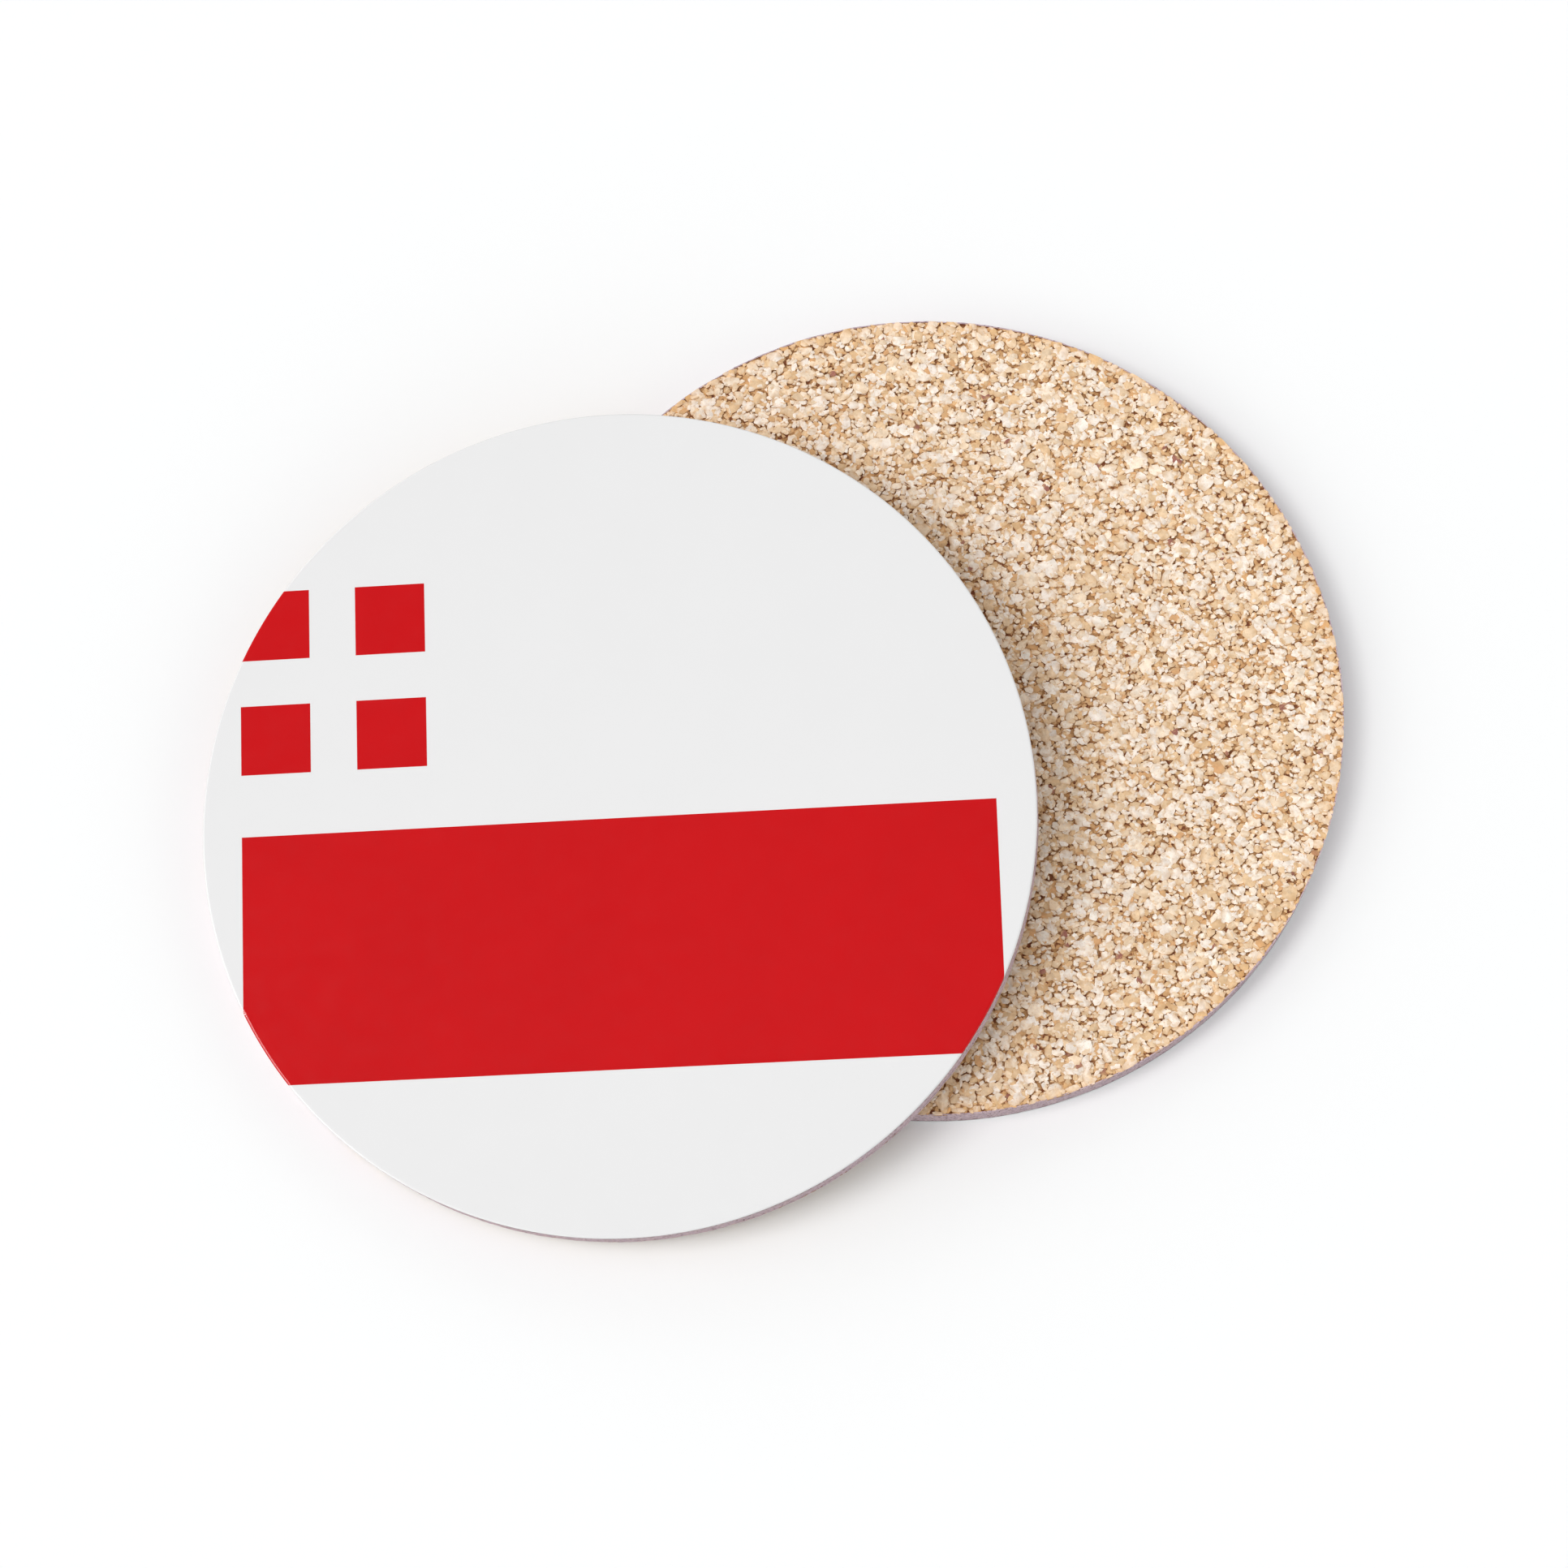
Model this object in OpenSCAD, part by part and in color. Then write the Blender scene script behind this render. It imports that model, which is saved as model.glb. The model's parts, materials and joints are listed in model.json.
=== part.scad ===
// A pair of round drink coasters with cork backs. The lower one lies face down on the
// table with its cork up. The upper one shows its face and leans on it: its low edge
// stands on the table and its cork back rests over the rim of the lower one.
// Origin: the middle of the lower coaster's face, on the table. +Z is up.

/* [Coaster] */
// Diameter of each coaster
coaster_d = 95; // [80:1:120]
// Thickness of the hardboard disc
board_t = 2.65; // [2:0.05:5]
// Width of the small bevel round the back edge of the hardboard
board_bevel = 0.1; // [0.05:0.05:0.3]

/* [Cork backing] */
// Thickness of the cork sheet
cork_t = 0.9; // [0.6:0.1:2]
// Thickness of the adhesive film that holds the cork
glue_t = 0.1; // [0.05:0.05:0.3]
// How far the adhesive film stops short of the edge
glue_inset = 0.2; // [0.1:0.1:2]

/* [Gloss coat] */
// Width of the bevel round the rim of the white coat
coat_bevel = 0.2; // [0.1:0.05:0.4]
// How far the print's dye reaches down past the bevel
dye_past_bevel = 0.05; // [0.03:0.01:0.2]
// Thickness of the undyed coat under the print
coat_base_t = 0.1; // [0.05:0.05:0.4]

/* [Print] */
// White margin between the print's sides and the rim, on the face's middle line
side_margin = 4.55; // [1:0.05:10]
// Height of the stripe, which hangs from the face's middle line
stripe_h = 28.65; // [10:0.05:40]
// Gap between the stripe and the lower row of squares
stripe_gap = 7.2; // [2:0.05:12]
// Side of each square
square_w = 8.05; // [4:0.05:12]
// Gap between neighbouring squares
square_gap = 5.35; // [1:0.05:10]

/* [Lean] */
// Level distance from the lower rim to where the upper coaster stands on the table
lean_run = 37.4; // [30:0.1:47]
// How far the upper coaster is shifted along the level line across the slope
side_shift = 6.1; // [0:0.1:12]
// Compass direction in which the upper coaster rises, in degrees from +X
lean_azimuth = 31; // [0:1:360]
// Turn of the upper print about its own axis, in degrees
print_turn = 1.8; // [-180:0.1:180]
// Gap left over the lower rim, measured straight up
lean_gap = 0.1; // [0.05:0.05:0.5]

/* [Hidden] */
$fn = 180;

coaster_r = coaster_d / 2;

// The print dyes the coat from its face down past the bevel
dye_depth = coat_bevel + dye_past_bevel;
coat_t = coat_base_t + dye_depth;

// Heights of the layers over the cork's underside, from the bottom up
glue_z = cork_t;
board_z = glue_z + glue_t;
coat_z = board_z + board_t;
dye_z = coat_z + coat_base_t;
face_z = dye_z + dye_depth;

// The print is centred between the rim's two sides
print_left = side_margin - coaster_r;
print_w = -2 * print_left;
square_pitch = square_w + square_gap;

// The upper underside rises from the table to just over the lower rim
lean_angle = atan((face_z + lean_gap) / lean_run);

cork_tan = "#E2C39C";
glue_amber = "#D8CBB0";
board_brown = "#B59EA2";
coat_white = "#EDEDED";
print_red = "#CD2024";

// One coaster, face up, its cork's underside at z = 0

module cork() {
    color(cork_tan) cylinder(r = coaster_r, h = cork_t);
}

module glue() {
    color(glue_amber) translate([0, 0, glue_z]) cylinder(r = coaster_r - glue_inset, h = glue_t);
}

module board() {
    color(board_brown) translate([0, 0, board_z]) {
        cylinder(r1 = coaster_r - board_bevel, r2 = coaster_r, h = board_bevel);
        translate([0, 0, board_bevel]) cylinder(r = coaster_r, h = board_t - board_bevel);
    }
}

// The whole coat before it is dyed: a thin disc with a bevelled upper rim
module coat_blank() {
    translate([0, 0, coat_z]) {
        cylinder(r = coaster_r, h = coat_t - coat_bevel);
        translate([0, 0, coat_t - coat_bevel])
            cylinder(r1 = coaster_r, r2 = coaster_r - coat_bevel, h = coat_bevel);
    }
}

// A printed rectangle's block, from the dye's depth to over the face
module print_block(left, bottom, width, height) {
    translate([left, bottom, dye_z]) cube([width, height, dye_depth + coat_t]);
}

module stripe_block() {
    print_block(print_left, -stripe_h, print_w, stripe_h);
}

// Squares count their column from the left and their row up from the stripe
module square_block(column, row) {
    print_block(
        print_left + column * square_pitch, stripe_gap + row * square_pitch,
        square_w, square_w);
}

module coat() {
    color(coat_white) difference() {
        coat_blank();
        stripe_block();
        for (column = [0, 1], row = [0, 1]) square_block(column, row);
    }
}

module stripe() {
    color(print_red) intersection() {
        coat_blank();
        stripe_block();
    }
}

module print_square(column, row) {
    color(print_red) intersection() {
        coat_blank();
        square_block(column, row);
    }
}

// The two places: face down on the table, and face up and leaning

module face_down() {
    translate([0, 0, face_z]) rotate([180, 0, 0]) children();
}

module leaning() {
    rotate([0, 0, lean_azimuth])
    translate([-coaster_r - lean_run, side_shift, 0])
    rotate([0, -lean_angle, 0])
    translate([coaster_r, 0, 0])
    rotate([0, 0, print_turn - lean_azimuth])
    children();
}

module lower_cork() { face_down() cork(); }
module lower_glue() { face_down() glue(); }
module lower_board() { face_down() board(); }
module lower_coat() { face_down() coat(); }
module lower_stripe() { face_down() stripe(); }
module lower_square_top_left() { face_down() print_square(0, 1); }
module lower_square_top_right() { face_down() print_square(1, 1); }
module lower_square_bottom_left() { face_down() print_square(0, 0); }
module lower_square_bottom_right() { face_down() print_square(1, 0); }

module upper_cork() { leaning() cork(); }
module upper_glue() { leaning() glue(); }
module upper_board() { leaning() board(); }
module upper_coat() { leaning() coat(); }
module upper_stripe() { leaning() stripe(); }
module upper_square_top_left() { leaning() print_square(0, 1); }
module upper_square_top_right() { leaning() print_square(1, 1); }
module upper_square_bottom_left() { leaning() print_square(0, 0); }
module upper_square_bottom_right() { leaning() print_square(1, 0); }

lower_cork();
lower_glue();
lower_board();
lower_coat();
lower_stripe();
lower_square_top_left();
lower_square_top_right();
lower_square_bottom_left();
lower_square_bottom_right();
upper_cork();
upper_glue();
upper_board();
upper_coat();
upper_stripe();
upper_square_top_left();
upper_square_top_right();
upper_square_bottom_left();
upper_square_bottom_right();
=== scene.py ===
import json
import math

import bpy
import numpy as np
from mathutils import Matrix, Vector


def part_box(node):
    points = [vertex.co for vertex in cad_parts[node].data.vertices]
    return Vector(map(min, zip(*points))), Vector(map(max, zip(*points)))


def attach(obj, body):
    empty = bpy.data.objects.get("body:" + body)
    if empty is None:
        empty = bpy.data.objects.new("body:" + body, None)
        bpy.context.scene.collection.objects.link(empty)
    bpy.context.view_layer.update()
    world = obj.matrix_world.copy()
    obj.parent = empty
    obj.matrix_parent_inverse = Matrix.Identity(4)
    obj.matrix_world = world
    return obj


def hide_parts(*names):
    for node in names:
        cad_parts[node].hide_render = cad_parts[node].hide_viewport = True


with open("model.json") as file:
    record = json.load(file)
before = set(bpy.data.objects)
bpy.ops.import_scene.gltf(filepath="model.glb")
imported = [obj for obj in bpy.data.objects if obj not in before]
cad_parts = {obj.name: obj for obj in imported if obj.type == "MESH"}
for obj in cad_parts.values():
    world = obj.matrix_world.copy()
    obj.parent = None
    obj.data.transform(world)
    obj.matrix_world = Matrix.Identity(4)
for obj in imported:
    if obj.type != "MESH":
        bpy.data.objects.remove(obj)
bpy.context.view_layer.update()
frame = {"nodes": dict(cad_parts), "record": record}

# Two round drink coasters. Each is a cork sheet glued to a hardboard disc with a gloss coat
# and a red print on its face. The lower one lies face down, the upper one leans on it, face up.
# A coaster is modelled in its own frame, cork underside at height 0 and face up, and is then
# carried to its place. All lengths are in metres.

TAU = 2 * math.pi
MM = 0.001
TO_MM = 1000


def layer(name):
    """The lowest and highest height of a layer in the coaster's own frame, from the lower
    coaster's node, which lies face down."""
    low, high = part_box("lower_" + name)
    return THICKNESS - high.z, THICKNESS - low.z


# Sizes of a coaster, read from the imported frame
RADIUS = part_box("lower_cork")[1].x
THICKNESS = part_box("lower_cork")[1].z
CORK_HEIGHT = layer("cork")[1]
BOARD_BOTTOM, BOARD_TOP = layer("board")
COAT_BOTTOM, FACE = layer("coat")

# How far over the dye's lowest point the print ends on the rim
INK_STOPS_SHORT = 0.04 * MM
INK_BOTTOM = layer("stripe")[0] + INK_STOPS_SHORT

# The rim of the coat: its rounding, how far the print stands over the white, and how thick the
# printed sheet is
RIM_ROUND = 0.22 * MM
INK_STEP = 0.01 * MM
INK_DEPTH = 0.04 * MM
ROUND_STEPS = 9
COLUMNS_ROUND = 720
SHARP_FROM = math.radians(40)
NEAR_ZERO = MM * 1e-6

# The cut edge: its small bevel, how deep its fibres are torn, and that depth as shares: the
# middle, the reach of the coarse and the fine noise, and the most
EDGE_BEVEL = 0.1 * MM
EDGE_TEAR = 0.035 * MM
TEAR_MIDDLE, TEAR_COARSE, TEAR_FINE, TEAR_MOST = 0.8, 0.55, 0.35, 2.5
EDGE_COLUMNS = 1200
BOARD_ROWS = 12
CORK_ROWS = 6

# The edge's colour: how far below the coat it browns, and the dark line beside the coat
EDGE_BROWNING = 0.9 * MM
# The line beside the coat is painted shade where the edge meets the coat
EDGE_LINE_FROM, EDGE_LINE_TO = 0.25 * MM, 0.03 * MM

# How deep the surfaces' fine relief is shaded
PEEL_RELIEF = 0.02 * MM
FIBRE_RELIEF = 0.03 * MM
GAP_RELIEF = 0.05 * MM
CHIP_RELIEF = -0.09 * MM
GLUE_RELIEF = 0.02 * MM

# The cork sheet: the floor between its chips, and the thin lip that keeps its outline round
GAP_FLOOR = 0.58 * MM
LIP_WIDTH = 0.04 * MM
LIP_DROP = 0.1 * MM
RIM_STAIN = 1.7 * MM

# The cork's chips by size: the corners of their outline, the grid they are set out on, their
# least and greatest length, and how far their tops may lie below the sheet's face
CHIP_SIZES = (
    (8, 2.4 * MM, 1.3 * MM, 2.2 * MM, 0.06 * MM),
    (6, 0.88 * MM, 0.8 * MM, 1.5 * MM, 0.21 * MM),
    (5, 0.58 * MM, 0.5 * MM, 0.95 * MM, 0.25 * MM),
)

# How the chips are set out and cut: the stray of their places, their depth, tilt and heading
CHIP_JITTER_SHARE = 0.45
CHIP_SECTORS = 5
CHIP_FOOT = 0.25 * MM
CHIP_TILT_SHARE = 0.14
CHIP_UNEVEN = 0.08 * MM
CHIP_HEADING_SPREAD = 0.75
CHIP_DEEPEST = 0.3 * MM
# How far down a corner of a chip's top may count, so that it takes painted shade toward ochre
CORNER_SHADE_SHARE = 0.35

# A chip's outline as shares: its width, its corners' stray, and the reach of its two outlines
CHIP_WIDTH_SHARES = (0.5, 0.9)
CORNER_STRAY_SHARE = 0.33
TOP_REACH_SHARES = (0.78, 1.14)
GIRDLE_REACH_SHARES = (0.93, 1.18)

# A chip's heights: how far the press holds it below the sheet's face, how far its girdle lies
# below its top, and how far its middle rises
PRESSED_BELOW = (0.001 * MM, 0.03 * MM)
GIRDLE_BELOW = (0.15 * MM, 0.4 * MM)
CROWN_RISE = (-0.01 * MM, 0.05 * MM)

# Colours as they look in the photograph, in 8-bit values
WHITE_COAT = (233, 235, 236)
RED_PRINT = (202, 10, 18)
MAUVE_EDGE = (194, 175, 187)
PINK_EDGE = (213, 192, 196)
BROWN_EDGE = (139, 116, 116)
# The gaps' brown, also used down the chips' sides, is partly painted shade of the crevices
CORK_GAP = (137, 88, 56)
CORK_PIT = (128, 74, 56)
CORK_DUST = (190, 146, 100)
CORK_OCHRE = (217, 179, 134)
CORK_RIM = (238, 188, 122)
GLUE_AMBER = (216, 203, 176)

# The chips' colours from the highest chips to the lowest, and how common each is
# Lower chips take the darker colours, which is painted shade
CHIP_COLOURS = (
    ((254, 244, 232), 24),
    ((251, 235, 213), 24),
    ((245, 221, 190), 18),
    ((235, 204, 164), 15),
    ((226, 188, 142), 14),
    ((214, 166, 116), 10),
)

# How much of a chip's colour follows its depth, and how much lighter or darker it may be
# The share that follows depth makes lower chips darker, as painted shade
DEPTH_SHARE = 0.5
TINT_SHARES = (0.9, 1.04)

# Chips with bark in them: their colour, and the share of all chips
BARK_COLOURS = (
    ((222, 174, 126), 0.025),
    ((158, 106, 94), 0.004),
)

# The camera of the photograph: place, tilt from straight down, lens, sensor width, and the
# nearest and farthest that it sees
CAMERA_PLACE = (-16.88 * MM, -139.19 * MM, 484.93 * MM)
CAMERA_TILT = 15.145
CAMERA_LENS = 100
CAMERA_SENSOR = 36
CAMERA_CLIP = (0.01, 20)

# The studio light: azimuth and height of each lamp in degrees, its width, and its strength
KEY_LAMP = (203, 76, 30, 0.59)
SIDE_LAMP = (190, 55, 24, 0.915)
LEFT_FILL = (190, 28, 56, 0.885)
RIGHT_FILL = (0, 30, 60, 0.285)
LAMP_COLOUR = (1.0, 0.964, 0.949)

# The sky: its light, how many times brighter that is low and high, how bright gloss sees it
# low, how bright it is overhead for camera, glass and gloss, and between which rises, as the
# sine of the height, each turns from one to the other
SKY_LIGHT = (0.443, 0.444, 0.445)
SKY_LOW, SKY_HIGH = 1.8, 0.543
SKY_IN_GLOSS = 0.35
SKY_OVERHEAD = 0.16
SKY_TURN = (0.5, 0.7)
OVERHEAD_TURN = (0.5, 0.8)

# The floor: half its width, how far it lies below the coasters, and its colour for the camera,
# for the light that it sends back, and for gloss
FLOOR_HALF = 3.0
FLOOR_BELOW = 0.02 * MM
FLOOR_SEEN = (0.961, 0.988, 0.997, 1)
FLOOR_SENDS_BACK = (0.86, 0.86, 0.86, 1)
FLOOR_IN_GLOSS = (0.3, 0.3, 0.3, 1)

# The turn of the upper print about its own axis, in degrees
PRINT_TURN = 1.8

# The rows and columns of each printed area, more where the rim cuts it
PRINT_STEPS = {
    "stripe": 120,
    "square_top_left": 40,
    "square_top_right": 8,
    "square_bottom_left": 8,
    "square_bottom_right": 8,
}

# The seed of each coaster's random draws
SEEDS = {"lower": 11, "upper": 23}


def linear(colour):
    """An 8-bit sRGB colour as linear RGBA."""
    share = np.array(colour, float) / 255
    value = np.where(share <= 0.04045, share / 12.92, ((share + 0.055) / 1.055) ** 2.4)
    return (*value.tolist(), 1.0)


# Shader helpers

def node(tree, kind, inputs=None, **settings):
    """A new shader node with its settings; inputs holds values, or sockets to link from."""
    made = tree.nodes.new("ShaderNode" + kind)
    for name, value in settings.items():
        setattr(made, name, value)
    for name, value in (inputs or {}).items():
        if isinstance(value, bpy.types.NodeSocket):
            tree.links.new(value, made.inputs[name])
        else:
            made.inputs[name].default_value = value
    return made


def mixed(tree, factor, first, second, blend="MIX"):
    """The colour first, mixed with second by factor."""
    inputs = {0: factor, 6: first, 7: second}
    return node(tree, "Mix", inputs, data_type="RGBA", blend_type=blend).outputs[2]


def spread(tree, value, low, high, to_low=0.0, to_high=1.0):
    """The value mapped from low..high to to_low..to_high, clamped."""
    inputs = {
        "Value": value, "From Min": low, "From Max": high,
        "To Min": to_low, "To Max": to_high,
    }
    return node(tree, "MapRange", inputs).outputs["Result"]


def noise(tree, place, per_mm, detail=2.0, roughness=0.5):
    """Noise with that many features a millimetre."""
    inputs = {"Vector": place, "Scale": per_mm, "Detail": detail, "Roughness": roughness}
    return node(tree, "TexNoise", inputs).outputs["Fac"]


def attribute(tree, name, output):
    """One output of the piece's own attribute of that name."""
    return node(tree, "Attribute", attribute_name=name).outputs[output]


def stretched(tree, place, scale):
    """The place with each axis scaled, so that a pattern on it is drawn out."""
    return node(tree, "Mapping", {"Vector": place, "Scale": scale}).outputs["Vector"]


def bump(tree, height, strength, depth):
    """The normal of a surface with that height as fine relief, depth being its reach."""
    inputs = {"Height": height, "Strength": strength, "Distance": depth}
    return node(tree, "Bump", inputs).outputs["Normal"]


def material(name, paint):
    """A new material whose nodes are made by paint(tree, shader)."""
    made = bpy.data.materials.new(name)
    made.use_nodes = True
    tree = made.node_tree
    paint(tree, tree.nodes["Principled BSDF"])
    return made


def set_inputs(tree, shader, **inputs):
    """Sets or links the shader's inputs; an underscore stands for a space."""
    for name, value in inputs.items():
        socket = shader.inputs[name.replace("_", " ")]
        if isinstance(value, bpy.types.NodeSocket):
            tree.links.new(value, socket)
        else:
            socket.default_value = value


# Materials

def gloss(colour, cloud):
    """A smooth sprayed coat: a faint cloudiness of the colour and a faint orange peel."""

    def paint(tree, shader):
        place = attribute(tree, "place_mm", "Vector")
        clouds = noise(tree, place, 0.12, detail=4)
        darker = linear([channel * cloud for channel in colour])
        peel = noise(tree, place, 1.1, detail=1)
        set_inputs(
            tree, shader,
            Base_Color=mixed(tree, spread(tree, clouds, 0.35, 0.65), darker, linear(colour)),
            Roughness=spread(tree, noise(tree, place, 0.5, detail=5), 0.3, 0.7, 0.1, 0.16),
            Normal=bump(tree, peel, 0.02, PEEL_RELIEF),
        )

    return paint


def cut_edge(tree, shader):
    """The cut edge: pressed fibre in mauve and pink flecks, browner beside the coat."""
    place = attribute(tree, "place_mm", "Vector")
    flat = stretched(tree, place, (1, 1, 1.2))
    flecks = noise(tree, flat, 2.6, detail=2, roughness=0.6)
    fine = noise(tree, flat, 6, detail=2)
    dark = noise(tree, flat, 3.2, detail=2)
    height = node(tree, "SeparateXYZ", {"Vector": place}).outputs["Z"]
    browning = (COAT_BOTTOM - EDGE_BROWNING) * TO_MM
    near_coat = spread(tree, height, browning, COAT_BOTTOM * TO_MM, 0.0, 0.10)
    shifted = node(tree, "Math", {0: dark, 1: near_coat}, operation="ADD").outputs[0]
    colour = mixed(tree, spread(tree, flecks, 0.42, 0.58), linear(MAUVE_EDGE), linear(PINK_EDGE))
    colour = mixed(tree, spread(tree, shifted, 0.55, 0.66), colour, linear(BROWN_EDGE))
    colour = mixed(tree, spread(tree, fine, 0.35, 0.65, 0.0, 0.25), colour, linear(BROWN_EDGE))
    # A dark line just under the coat, painted shade at the join
    line_from, line_to = (COAT_BOTTOM - EDGE_LINE_FROM) * TO_MM, (COAT_BOTTOM - EDGE_LINE_TO) * TO_MM
    line = spread(tree, height, line_from, line_to, 0.0, 0.75)
    colour = mixed(tree, line, colour, linear(BROWN_EDGE))
    set_inputs(
        tree, shader,
        Base_Color=colour,
        Roughness=spread(tree, fine, 0.3, 0.7, 0.75, 0.95),
        Normal=bump(tree, fine, 0.5, FIBRE_RELIEF),
        Specular_IOR_Level=0.2,
    )


def cork_gap(tree, shader):
    """The bottom of the gaps between chips: brown dust and bark, the brown partly painted shade."""
    place = attribute(tree, "place_mm", "Vector")
    patches = noise(tree, place, 1.6, detail=2)
    fine = noise(tree, place, 4, detail=3)
    colour = mixed(tree, spread(tree, fine, 0.35, 0.65), linear(CORK_GAP), linear(CORK_PIT))
    set_inputs(
        tree, shader,
        Base_Color=mixed(tree, spread(tree, patches, 0.42, 0.5), colour, linear(CORK_DUST)),
        Roughness=0.95,
        Normal=bump(tree, fine, 0.6, GAP_RELIEF),
        Specular_IOR_Level=0.1,
    )


def cork_chip(tree, shader):
    """A chip of cork: its own colour, clouded and grained, with painted shade: ochre at the corners
    of its top that count as lower, and brown down its sides."""
    place = attribute(tree, "place_mm", "Vector")
    depth = attribute(tree, "chip_depth", "Fac")
    colour = attribute(tree, "chip_colour", "Color")
    clouds = noise(tree, place, 1.3, detail=3, roughness=0.6)
    grain = noise(tree, place, 3.4, detail=3, roughness=0.6)
    light = spread(tree, clouds, 0.3, 0.7, 0.9, 1.19)
    shade = node(tree, "CombineColor", {"Red": light, "Green": light, "Blue": light})
    colour = mixed(tree, 1.0, colour, shade.outputs["Color"], "MULTIPLY")
    colour = mixed(tree, spread(tree, grain, 0.55, 0.7, 0.0, 0.5), colour, linear(CORK_OCHRE))
    radius = node(tree, "VectorMath", {0: stretched(tree, place, (1, 1, 0))}, operation="LENGTH")
    uneven = spread(tree, noise(tree, place, 0.7), 0.3, 0.7, -0.7, 0.7)
    radius = node(tree, "Math", {0: radius.outputs["Value"], 1: uneven}, operation="ADD").outputs[0]
    rim = spread(tree, radius, (RADIUS - RIM_STAIN) * TO_MM, RADIUS * TO_MM, 0.0, 0.5)
    colour = mixed(tree, rim, colour, linear(CORK_RIM))
    # Painted shade: ochre where a chip counts as lower, and brown down its sides into the gaps
    colour = mixed(tree, spread(tree, depth, 0.0, 0.35), colour, linear(CORK_OCHRE))
    colour = mixed(tree, spread(tree, depth, 0.25, 0.65), colour, linear(CORK_GAP))
    set_inputs(
        tree, shader,
        Base_Color=colour,
        Roughness=spread(tree, grain, 0.3, 0.7, 0.8, 0.97),
        Normal=bump(tree, grain, 0.7, CHIP_RELIEF),
        Specular_IOR_Level=0.15,
    )


def glue_film(tree, shader):
    """Dried adhesive: cloudy amber, on the CAD node's own coordinates."""
    place = node(tree, "TexCoord").outputs["Object"]
    clouds = noise(tree, place, 900, detail=3)
    darker = linear([channel * 0.8 for channel in GLUE_AMBER])
    set_inputs(
        tree, shader,
        Base_Color=mixed(tree, spread(tree, clouds, 0.35, 0.65), linear(GLUE_AMBER), darker),
        Roughness=spread(tree, clouds, 0.3, 0.7, 0.4, 0.7),
        Normal=bump(tree, clouds, 0.3, GLUE_RELIEF),
    )


MATERIALS = {
    "coat": material("white_gloss_coat", gloss(WHITE_COAT, 0.997)),
    "print": material("red_gloss_print", gloss(RED_PRINT, 0.985)),
    "edge": material("cut_edge", cut_edge),
    "gap": material("cork_gap", cork_gap),
    "chip": material("cork_chip", cork_chip),
    "glue": material("glue_film", glue_film),
}


# The two coasters' places

def lying_face_down():
    """Turned over about X, so that the face is at height 0."""
    return Matrix.Translation((0, 0, THICKNESS)) @ Matrix.Rotation(math.pi, 4, "X")


def leaning_face_up():
    """Turned by the print's own turn, tilted the short way to the face's axis, and moved so
    that the face's middle is at the drink_face mount."""
    mount = next(m for m in frame["record"]["mounts"] if m["name"] == "drink_face")
    tilt = Vector((0, 0, 1)).rotation_difference(Vector(mount["axis"])).to_matrix().to_4x4()
    turn = Matrix.Rotation(math.radians(PRINT_TURN), 4, "Z")
    return Matrix.Translation(mount["pos_m"]) @ tilt @ turn @ Matrix.Translation((0, 0, -FACE))


COASTERS = {"lower": lying_face_down(), "upper": leaning_face_up()}
CORK_UP = Matrix.Translation((0, 0, CORK_HEIGHT)) @ Matrix.Rotation(math.pi, 4, "X")


# Mesh helpers

def moved(points, matrix):
    """Points carried by a 4 by 4 matrix."""
    matrix = np.array(matrix)
    return points @ matrix[:3, :3].T + matrix[:3, 3]


def put(name, side, matrix, points, faces, materials, nodes,
        face_material=None, smooth=True, colours=None, depths=None):
    """Makes a piece of one coaster. points are in the piece's own frame, which matrix carries to
    the row frame, and they stay readable in millimetres as the attribute place_mm. faces is a
    list of index arrays, each with one number of corners."""
    mesh = bpy.data.meshes.new(f"{side}_{name}")
    corners = np.concatenate([group.ravel() for group in faces]).astype(np.int32)
    counts = np.concatenate([np.full(len(group), group.shape[1]) for group in faces])
    mesh.vertices.add(len(points))
    mesh.vertices.foreach_set("co", moved(points, matrix).astype(np.float32).ravel())
    mesh.loops.add(len(corners))
    mesh.loops.foreach_set("vertex_index", corners)
    mesh.polygons.add(len(counts))
    mesh.polygons.foreach_set("loop_start", (np.cumsum(counts) - counts).astype(np.int32))
    mesh.polygons.foreach_set("use_smooth", np.full(len(counts), smooth))
    for kind in materials:
        mesh.materials.append(MATERIALS[kind])
    if face_material is not None:
        mesh.polygons.foreach_set("material_index", face_material.astype(np.int32))
    place = mesh.attributes.new("place_mm", "FLOAT_VECTOR", "POINT")
    place.data.foreach_set("vector", (points * TO_MM).astype(np.float32).ravel())
    if colours is not None:
        mesh.attributes.new("chip_colour", "FLOAT_COLOR", "POINT").data.foreach_set(
            "color", colours.astype(np.float32).ravel())
        mesh.attributes.new("chip_depth", "FLOAT", "POINT").data.foreach_set(
            "value", depths.astype(np.float32).ravel())
    mesh.update(calc_edges=True)
    mesh.validate()
    if smooth:
        mesh.set_sharp_from_angle(angle=SHARP_FROM)
    piece = bpy.data.objects.new(f"{side}_{name}", mesh)
    bpy.context.scene.collection.objects.link(piece)
    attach(piece, side + "_coaster")
    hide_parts(*[f"{side}_{node_name}" for node_name in nodes])


def turned(radius, height):
    """A closed skin round the axis: ring k has the radii and heights of row k, at evenly spaced
    angles, rings run from the lowest to the highest, and a fan closes each end at the axis."""
    rings, columns = radius.shape
    angle = TAU * np.arange(columns) / columns
    points = np.stack([radius * np.cos(angle), radius * np.sin(angle), height], -1).reshape(-1, 3)
    points = np.vstack([points, [[0, 0, height[0, 0]], [0, 0, height[-1, 0]]]])
    here = np.arange(rings * columns).reshape(rings, columns)
    after = np.roll(here, -1, axis=1)
    walls = np.stack([here[:-1], after[:-1], after[1:], here[1:]], -1).reshape(-1, 4)
    low_end = np.full(columns, len(points) - 2)
    high_end = np.full(columns, len(points) - 1)
    fans = np.vstack([
        np.stack([low_end, after[0], here[0]], -1),
        np.stack([high_end, here[-1], after[-1]], -1),
    ])
    return points, [walls, fans]


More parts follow.
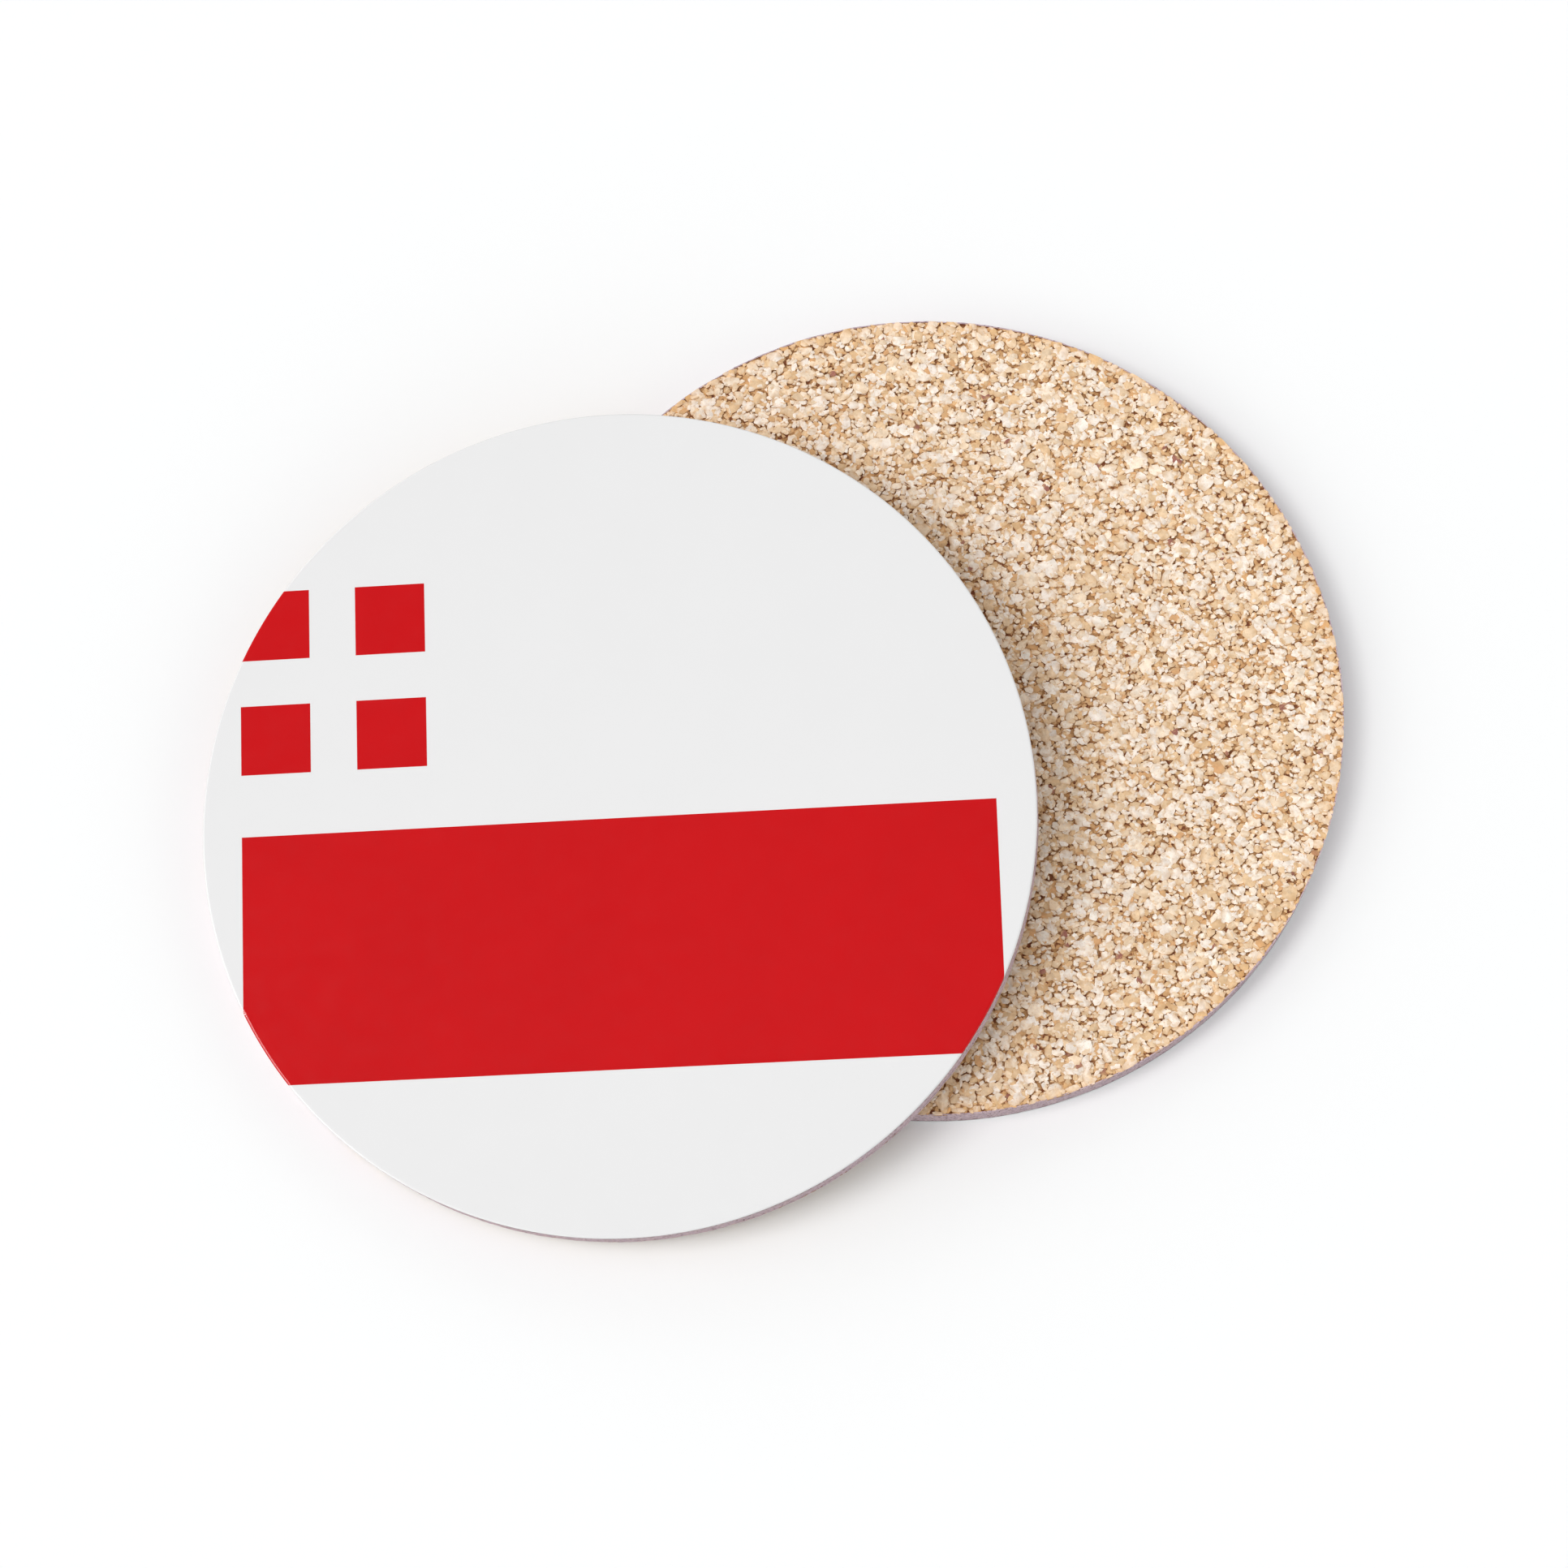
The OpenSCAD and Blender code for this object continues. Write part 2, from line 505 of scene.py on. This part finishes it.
def shell(top, bottom):
    """A closed slab between two grids of points of the same shape: the top as it is, the bottom
    turned over, and a wall round their borders."""
    rows, columns = top.shape[:2]
    points = np.vstack([top.reshape(-1, 3), bottom.reshape(-1, 3)])
    here = np.arange(rows * columns).reshape(rows, columns)
    over = np.stack([here[:-1, :-1], here[:-1, 1:], here[1:, 1:], here[1:, :-1]], -1)
    over = over.reshape(-1, 4)
    under = over[:, ::-1] + here.size
    border = np.concatenate([here[0, :-1], here[:-1, -1], here[-1, :0:-1], here[:0:-1, 0]])
    onward = np.roll(border, -1)
    wall = np.stack([border + here.size, onward + here.size, onward, border], -1)
    return points, [np.vstack([over, under, wall])]


def rough(rng, rows, columns, row_reach, column_reach):
    """Noise on a grid whose columns close round: white noise blurred by a Gaussian that reaches
    over so many rows and columns, scaled to a spread of 1."""
    row_wave = np.fft.fftfreq(rows)[:, None] * row_reach
    column_wave = np.fft.rfftfreq(columns)[None] * column_reach
    spectrum = np.fft.rfft2(rng.standard_normal((rows, columns)))
    spectrum *= np.exp(-TAU * math.pi * (row_wave**2 + column_wave**2))
    blurred = np.fft.irfft2(spectrum, (rows, columns))
    return blurred / blurred.std()


def torn(rng, rows):
    """How deep each point of a cut edge lies inside its disc: coarse and fine noise, cut off at
    0 so that nothing stands proud."""
    coarse = rough(rng, rows, EDGE_COLUMNS, 1.2, 3.0)
    fine = rough(rng, rows, EDGE_COLUMNS, 0.4, 0.9)
    return EDGE_TEAR * np.clip(TEAR_MIDDLE + TEAR_COARSE * coarse + TEAR_FINE * fine, 0, TEAR_MOST)


# The gloss coat and its print

def coat_surface(x, y, inset):
    """A point of the coat over the flat pattern (x, y), sunk by inset. At a flat distance q from
    the axis the surface is level out to the rounding, then follows a quarter circle of
    RIM_ROUND, and then goes straight down the rim."""
    flat = np.hypot(x, y)
    level_radius = RADIUS - RIM_ROUND
    bend = np.clip((flat - level_radius) / RIM_ROUND, 0, TAU / 4)
    below = np.maximum(flat - level_radius - RIM_ROUND * TAU / 4, 0)
    out = np.minimum(flat, level_radius) + (RIM_ROUND - inset) * np.sin(bend)
    height = FACE - RIM_ROUND + (RIM_ROUND - inset) * np.cos(bend) - below
    share = out / np.maximum(flat, NEAR_ZERO)
    return np.stack([x * share, y * share, height], -1)


def gloss_coat(side, matrix):
    """The white coat as one turned skin: its flat back, its side, a quarter round, its face."""
    bends = np.linspace(0, TAU / 4, ROUND_STEPS)
    level_radius = RADIUS - RIM_ROUND
    small = RIM_ROUND - INK_STEP
    radius = np.concatenate([
        [level_radius, RADIUS - INK_STEP], level_radius + small * np.cos(bends),
        [level_radius - RIM_ROUND, level_radius / 2],
    ])
    height = np.concatenate([
        [COAT_BOTTOM, COAT_BOTTOM], FACE - RIM_ROUND + small * np.sin(bends),
        [FACE - INK_STEP, FACE - INK_STEP],
    ])
    rings = np.ones((1, COLUMNS_ROUND))
    points, faces = turned(radius[:, None] * rings, height[:, None] * rings)
    put("gloss_coat", side, matrix, points, faces, ["coat"], ["coat"])


def print_area(name, side, matrix, steps):
    """A printed rectangle cut off by the rim. Rows run along y between the rectangle's sides,
    and along each row x runs, closer towards its ends, from side to side or from rim to rim of
    the flat pattern, which the coat's surface then bends over the rounding."""
    low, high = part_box("lower_" + name)
    flat_edge = RADIUS - RIM_ROUND + RIM_ROUND * math.acos(1 - (FACE - INK_BOTTOM) / RIM_ROUND)
    along = (1 - np.cos(np.linspace(0, math.pi, steps))) / 2
    y = -high.y + (high.y - low.y) * np.linspace(0, 1, steps)[:, None]
    reach = np.sqrt(flat_edge**2 - y**2)
    clipped = low.x < -math.sqrt(RADIUS**2 - min(abs(low.y), abs(high.y))**2) + RIM_ROUND
    start = -reach if clipped else np.maximum(low.x, -reach)
    end = np.minimum(high.x, reach)
    x = start + (end - start) * along
    y = y + 0 * x
    points, faces = shell(coat_surface(x, y, 0), coat_surface(x, y, INK_DEPTH))
    put("print_" + name, side, matrix, points, faces, ["print"], [name])


# The hardboard and the cork

def hardboard(side, matrix, rng):
    """The board as a turned skin whose side is torn a little by the cutter."""
    heights = np.linspace(BOARD_BOTTOM + EDGE_BEVEL, BOARD_TOP, BOARD_ROWS)
    heights = np.concatenate([[BOARD_BOTTOM], heights])
    tear = torn(rng, len(heights))
    radius = RADIUS - tear
    radius[0] -= EDGE_BEVEL
    height = heights[:, None] * np.ones((1, EDGE_COLUMNS))
    points, faces = turned(radius, height)
    put("hardboard", side, matrix, points, faces, ["edge"], ["board"])


def cork_base(side, matrix, rng):
    """The cork sheet under its chips, as a turned skin: the glued back, the torn side, the
    narrow lip and the floor of the gaps."""
    rim = CORK_HEIGHT - LIP_DROP
    side_heights = np.linspace(0, rim, CORK_ROWS)
    tear = torn(rng, CORK_ROWS)
    side_radius = RADIUS - tear
    inner = RADIUS - LIP_WIDTH * 2 - EDGE_TEAR * TEAR_MOST
    ones = np.ones((1, EDGE_COLUMNS))
    radius = np.vstack([side_radius, inner * ones, inner * ones])
    height = np.vstack([side_heights[:, None] * ones, rim * ones, GAP_FLOOR * ones])
    points, faces = turned(radius, height)
    walls = len(faces[0])
    inside = np.zeros(walls + len(faces[1]))
    inside[walls - EDGE_COLUMNS:walls] = 1
    inside[-EDGE_COLUMNS:] = 1
    put(
        "cork_base", side, matrix @ CORK_UP, points, faces,
        ["edge", "gap"], ["cork"], inside)


def chip_places(rng, spacing, limit):
    """The chips' middles: a triangular grid with each point moved at random."""
    count = int(2 * RADIUS / spacing) + 2
    row, column = np.mgrid[-count:count + 1, -count:count + 1]
    places = np.stack([column + row % 2 / 2, row * math.sqrt(3) / 2], -1).reshape(-1, 2) * spacing
    places += rng.uniform(-CHIP_JITTER_SHARE, CHIP_JITTER_SHARE, places.shape) * spacing
    return places[np.hypot(*places.T) < limit]


def chip_blocks(rng, limit, n, spacing, shortest, longest, lowest):
    """Angular blocks of one size. A block has a top outline, a wider girdle outline a little
    lower whose corners lie between those of the top, and a middle point above and below. Each
    outline is an uneven polygon of n corners drawn in an ellipse, most of them lying along x.
    The top is a tilted and uneven plane cut off at the sheet's face, and nothing reaches past the
    circle of radius limit. The result is the blocks' middles, their points, how far down its
    block each point counts as lying (some of the top's corners count as lower, so that they take
    painted shade), and the faces of one block."""
    places = chip_places(rng, spacing, limit)
    count = len(places)
    length = rng.uniform(shortest, longest, (count, 1)) / 2
    width = length * rng.uniform(*CHIP_WIDTH_SHARES, (count, 1))
    heading = rng.normal(0, CHIP_HEADING_SPREAD, (count, 1))

    def outline(offset, least, greatest):
        stray = rng.uniform(-CORNER_STRAY_SHARE, CORNER_STRAY_SHARE, (count, n))
        turn = TAU * (np.arange(n) + offset + stray) / n
        reach = rng.uniform(least, greatest, (count, n))
        along, across = length * reach * np.cos(turn), width * reach * np.sin(turn)
        x = along * np.cos(heading) - across * np.sin(heading)
        y = along * np.sin(heading) + across * np.cos(heading)
        return np.stack([x, y], -1)

    tilt = rng.normal(0, CHIP_TILT_SHARE, (count, 1, 2))
    level = CORK_HEIGHT - rng.uniform(0, lowest, (count, 1))
    top = outline(0, *TOP_REACH_SHARES)
    girdle = outline(0.5, *GIRDLE_REACH_SHARES)
    pressed = CORK_HEIGHT - rng.uniform(*PRESSED_BELOW, (count, 1))
    uneven = rng.uniform(0, CHIP_UNEVEN, (count, n))
    top_height = np.minimum(level + (top * tilt).sum(-1) - uneven, pressed)
    girdle_height = top_height - rng.uniform(*GIRDLE_BELOW, (count, n))
    crown_height = np.minimum(level + rng.uniform(*CROWN_RISE, (count, 1)), pressed)
    flat = np.concatenate([top, girdle, np.zeros((count, 2, 2))], 1) + places[:, None]
    height = np.concatenate(
        [top_height, girdle_height, crown_height, np.full((count, 1), CHIP_FOOT)], 1)
    flat *= np.minimum(1, limit / np.hypot(flat[..., 0], flat[..., 1]))[..., None]
    here = np.arange(n)
    after = np.roll(here, -1)
    crown, foot = np.full(n, 2 * n), np.full(n, 2 * n + 1)
    faces = np.vstack([
        np.stack([here, after, crown], -1),
        np.stack([here, here + n, after], -1),
        np.stack([here + n, after + n, after], -1),
        np.stack([after + n, here + n, foot], -1),
    ])
    # Some corners of the top count as lower, so that they take painted shade toward ochre
    shaded_corners = np.maximum(rng.uniform(-CORNER_SHADE_SHARE, CORNER_SHADE_SHARE, (count, n)), 0)
    crown_depth, foot_depth = np.zeros((count, 1)), np.ones((count, 1))
    depth = np.concatenate([shaded_corners, np.ones((count, n)), crown_depth, foot_depth], 1)
    return places, np.concatenate([flat, height[..., None]], -1), depth, faces


def chip_tints(rng, drop):
    """A colour for each chip from how far its top lies below the sheet's face: partly by that,
    so that lower chips are darker as painted shade, and partly by chance it takes its place along
    CHIP_COLOURS, which blend into one another. A few chips have bark in them instead."""
    table = np.array([linear(colour) for colour, common in CHIP_COLOURS])
    common = np.cumsum([0] + [common for colour, common in CHIP_COLOURS])
    rank = (1 - DEPTH_SHARE) * rng.random(len(drop))
    rank += DEPTH_SHARE * np.minimum(drop / CHIP_DEEPEST, 1)
    order = rank.argsort().argsort() / len(rank) * common[-1]
    middles = (common[1:] + common[:-1]) / 2
    tint = np.stack([np.interp(order, middles, channel) for channel in table.T], -1)
    tint[:, :3] *= rng.uniform(*TINT_SHARES, (len(drop), 1))
    chance = rng.random(len(drop))
    for colour, share in BARK_COLOURS:
        tint[chance < share] = linear(colour)
    return np.minimum(tint, 1)


def cork_chips(side, matrix, rng):
    """The chips of the cork's face in sectors, each sector one piece of many closed blocks that
    run into one another, with the gaps' floor showing between them."""
    limit = RADIUS - LIP_WIDTH
    made = [chip_blocks(rng, limit, *size) for size in CHIP_SIZES]
    drops = np.concatenate([CORK_HEIGHT - blocks[:, -2, 2] for places, blocks, depth, shape in made])
    ends = np.cumsum([len(places) for places, blocks, depth, shape in made])
    tints = np.split(chip_tints(rng, drops), ends[:-1])
    for number in range(CHIP_SECTORS):
        points, faces, colours, depths = [], [], [], []
        first = 0
        for (places, blocks, depth, block_faces), tint in zip(made, tints):
            bearing = np.arctan2(places[:, 1], places[:, 0]) / TAU + 0.5
            mine = (bearing * CHIP_SECTORS).astype(int) % CHIP_SECTORS == number
            count, size = blocks[mine].shape[:2]
            points.append(blocks[mine].reshape(-1, 3))
            starts = (first + np.arange(count) * size)[:, None, None]
            faces.append((block_faces + starts).reshape(-1, 3))
            colours.append(np.repeat(tint[mine], size, axis=0))
            depths.append(depth[mine].ravel())
            first += count * size
        put(
            f"cork_chips_{number + 1}", side, matrix @ CORK_UP,
            np.vstack(points), [np.vstack(faces)], ["chip"], ["cork"], smooth=False,
            colours=np.vstack(colours), depths=np.concatenate(depths))


def glue(side):
    """The adhesive film keeps its CAD solid, with its own material."""
    film = frame["nodes"][side + "_glue"]
    film.data.materials.clear()
    film.data.materials.append(MATERIALS["glue"])


for side, matrix in COASTERS.items():
    rng = np.random.default_rng(SEEDS[side])
    gloss_coat(side, matrix)
    for name, steps in PRINT_STEPS.items():
        print_area(name, side, matrix, steps)
    hardboard(side, matrix, rng)
    cork_base(side, matrix, rng)
    cork_chips(side, matrix, rng)
    glue(side)


# Floor, light and camera

def studio_floor():
    """A wide pale floor just under the coasters. What the camera sees of it is pure white where
    no shadow falls and faintly blue in the shadows. It sends back a little less light, and
    gloss sees it dark."""
    mesh = bpy.data.meshes.new("studio_floor")
    signs = [(-1, -1), (1, -1), (1, 1), (-1, 1)]
    corners = [(x * FLOOR_HALF, y * FLOOR_HALF, -FLOOR_BELOW) for x, y in signs]
    mesh.from_pydata(corners, [], [(0, 1, 2, 3)])

    def paint(tree, shader):
        path = node(tree, "LightPath").outputs
        pale = mixed(tree, path["Is Glossy Ray"], FLOOR_SENDS_BACK, FLOOR_IN_GLOSS)
        white = mixed(tree, path["Is Camera Ray"], pale, FLOOR_SEEN)
        set_inputs(tree, shader, Base_Color=white, Roughness=1.0, Specular_IOR_Level=0.0)

    mesh.materials.append(material("studio_floor", paint))
    floor = bpy.data.objects.new("studio_floor", mesh)
    bpy.context.scene.collection.objects.link(floor)


def lamp(name, azimuth, height, width, strength):
    """A distant round soft lamp, seen from the object at that azimuth and height."""
    light = bpy.data.lights.new(name, "SUN")
    light.energy = strength
    light.color = LAMP_COLOUR
    light.angle = math.radians(width)
    made = bpy.data.objects.new(name, light)
    a, e = math.radians(azimuth), math.radians(height)
    towards = Vector((math.cos(a) * math.cos(e), math.sin(a) * math.cos(e), math.sin(e)))
    made.rotation_euler = towards.to_track_quat("Z", "Y").to_euler()
    bpy.context.scene.collection.objects.link(made)
    return made


def studio_sky():
    """A pale sky, brighter round the horizon than overhead, as in a tent of white cloth with its
    lamps outside. The camera and glass see it white near the horizon and dark overhead, and
    gloss sees it so too, but dimmer."""
    world = bpy.data.worlds.new("studio_sky")
    bpy.context.scene.world = world
    world.use_nodes = True
    tree = world.node_tree
    background = tree.nodes["Background"]
    path = node(tree, "LightPath").outputs
    low = (*[channel * SKY_LOW for channel in SKY_LIGHT], 1)
    high = (*[channel * SKY_HIGH for channel in SKY_LIGHT], 1)
    direction = node(tree, "TexCoord").outputs["Generated"]
    rise = node(tree, "SeparateXYZ", {"Vector": direction}).outputs["Z"]
    sky = mixed(tree, spread(tree, rise, *SKY_TURN), low, high)
    overhead = spread(tree, rise, *OVERHEAD_TURN)
    dark = (SKY_OVERHEAD, SKY_OVERHEAD, SKY_OVERHEAD, 1)
    backdrop = mixed(tree, overhead, (1, 1, 1, 1), dark)
    in_gloss = mixed(tree, overhead, (SKY_IN_GLOSS, SKY_IN_GLOSS, SKY_IN_GLOSS, 1), dark)
    kinds = {0: path["Is Camera Ray"], 1: path["Is Transmission Ray"]}
    seen = node(tree, "Math", kinds, operation="MAXIMUM").outputs[0]
    colour = mixed(tree, path["Is Glossy Ray"], sky, in_gloss)
    tree.links.new(mixed(tree, seen, colour, backdrop), background.inputs["Color"])
    background.inputs["Strength"].default_value = 1.0


def photo_camera():
    """The photograph's camera, which looks down and a little forward."""
    data = bpy.data.cameras.new("photo_camera")
    data.lens = CAMERA_LENS
    data.sensor_width = CAMERA_SENSOR
    data.clip_start, data.clip_end = CAMERA_CLIP
    camera = bpy.data.objects.new("photo_camera", data)
    camera.location = CAMERA_PLACE
    camera.rotation_euler = (math.radians(CAMERA_TILT), 0, 0)
    bpy.context.scene.collection.objects.link(camera)
    bpy.context.scene.camera = camera


studio_floor()
lamp("key_lamp", *KEY_LAMP).visible_glossy = False
lamp("side_lamp", *SIDE_LAMP)
lamp("left_fill", *LEFT_FILL)
lamp("right_fill", *RIGHT_FILL)
studio_sky()
photo_camera()
bpy.context.scene.view_settings.view_transform = "Standard"
